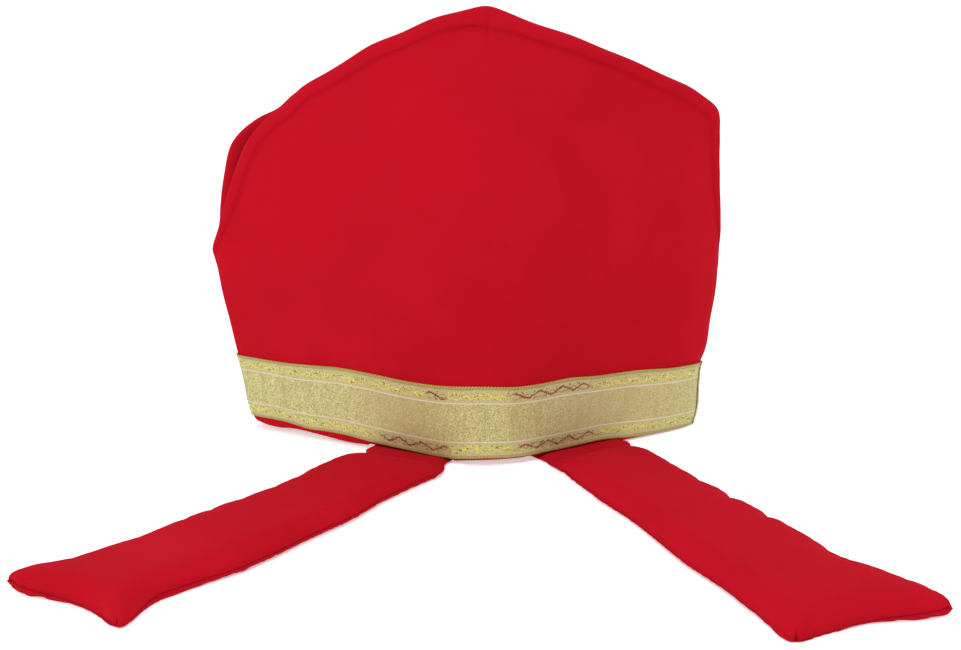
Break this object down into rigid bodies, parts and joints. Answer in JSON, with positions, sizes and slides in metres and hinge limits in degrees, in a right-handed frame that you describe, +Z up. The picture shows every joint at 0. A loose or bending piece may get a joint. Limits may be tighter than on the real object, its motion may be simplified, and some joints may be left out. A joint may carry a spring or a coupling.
{
  "type": "bishop mitre",
  "caption": "Soft padded cloth mitre, open at the top between its back and front panels, with a ribbon round the rim and flared lappets that lie spread on the table.",
  "frame": {"origin": "on the table, under the middle of the box that holds the crown and both lappets", "axes": "+Z up, +Y from the back panel and its lappets to the front panel, +X to the wearer's right"},
  "size_m": [0.3226, 0.372, 0.2199],
  "materials": {
    "red_cloth": "smooth matte woven cloth over thin padding",
    "gold_ribbon": "woven ribbon with metallic thread"
  },
  "bodies": {
    "root": {"back_panel": "red_cloth", "front_panel": "red_cloth", "ribbon": "gold_ribbon", "lappet_left": "red_cloth", "lappet_right": "red_cloth"}
  },
  "joints": []
}
